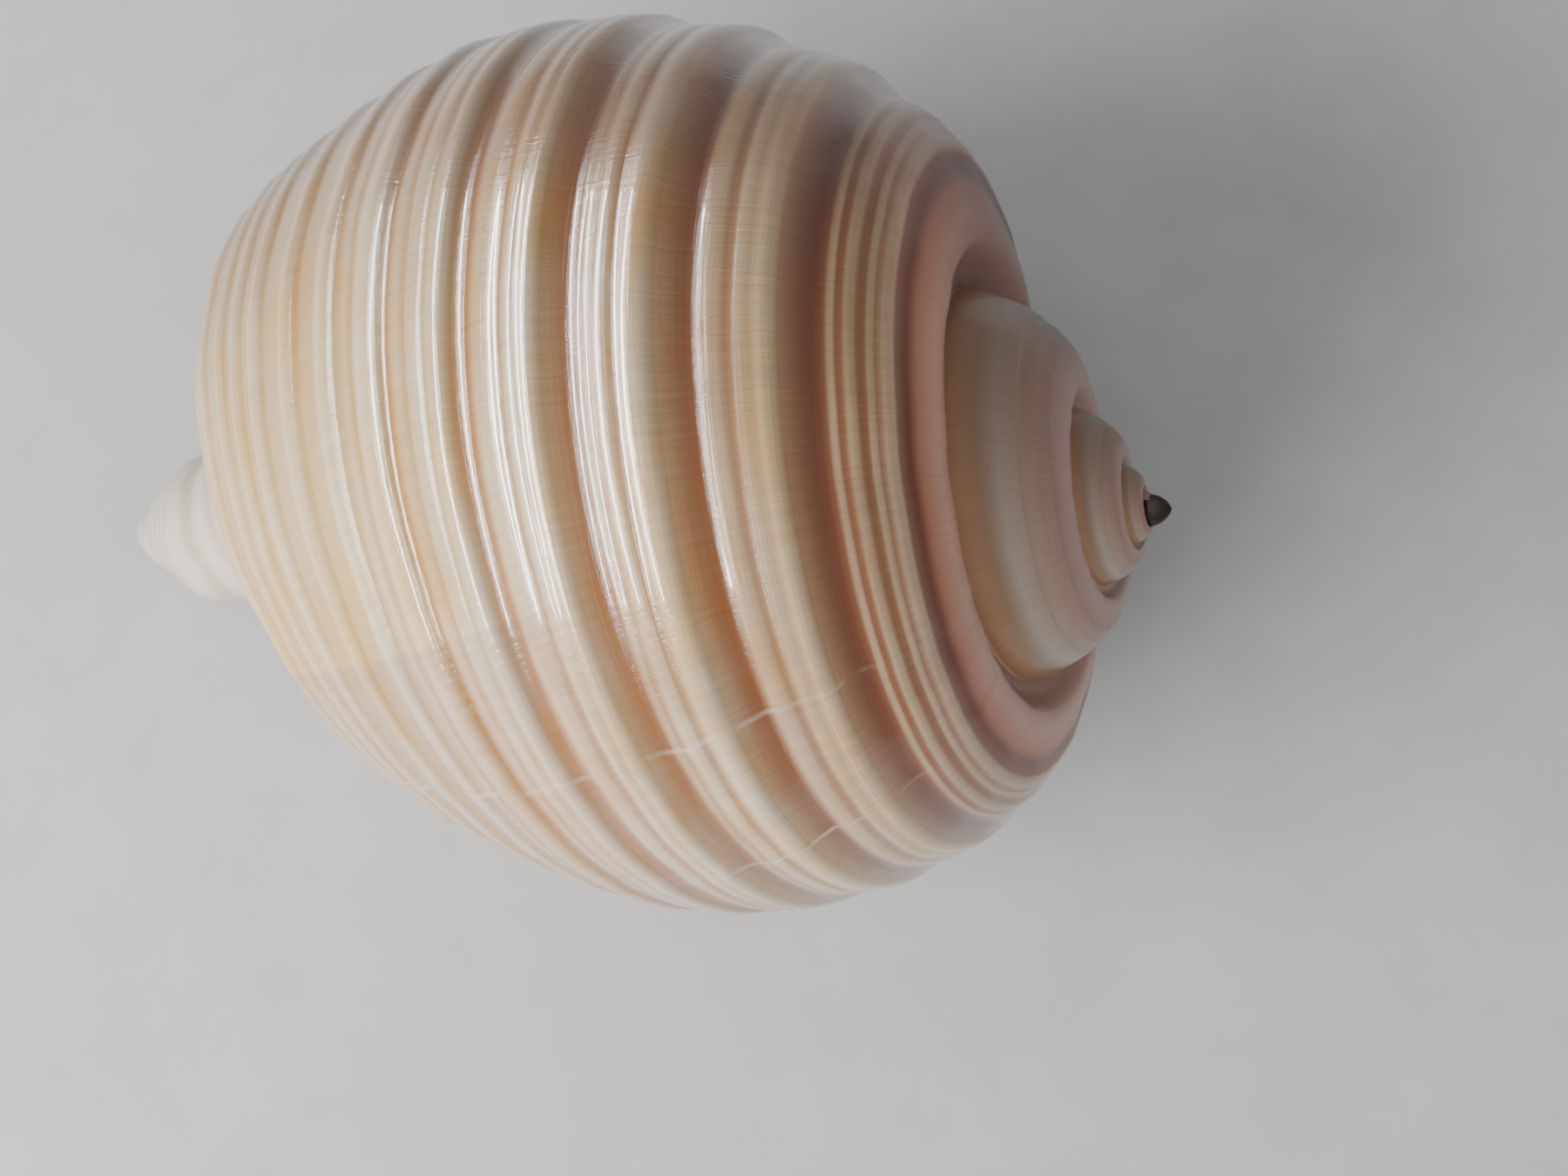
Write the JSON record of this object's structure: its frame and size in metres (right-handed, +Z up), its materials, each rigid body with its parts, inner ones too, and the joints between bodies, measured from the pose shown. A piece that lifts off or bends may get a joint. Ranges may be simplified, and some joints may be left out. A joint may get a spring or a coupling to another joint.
{
  "type": "tun shell",
  "caption": "Rounded, ribbed sea snail shell with a low spire, a channelled suture and a wide opening, lying on its opening.",
  "frame": {"origin": "bottom centre of the shell's box, on the surface that it lies on", "axes": "+X along the length toward the apex, +Z up, +Y toward the outer lip's side"},
  "size_m": [0.1658, 0.1272, 0.0995],
  "materials": {
    "shell": "glossy, banded cream and tan"
  },
  "bodies": {
    "root": {"shell": "shell"}
  },
  "joints": []
}
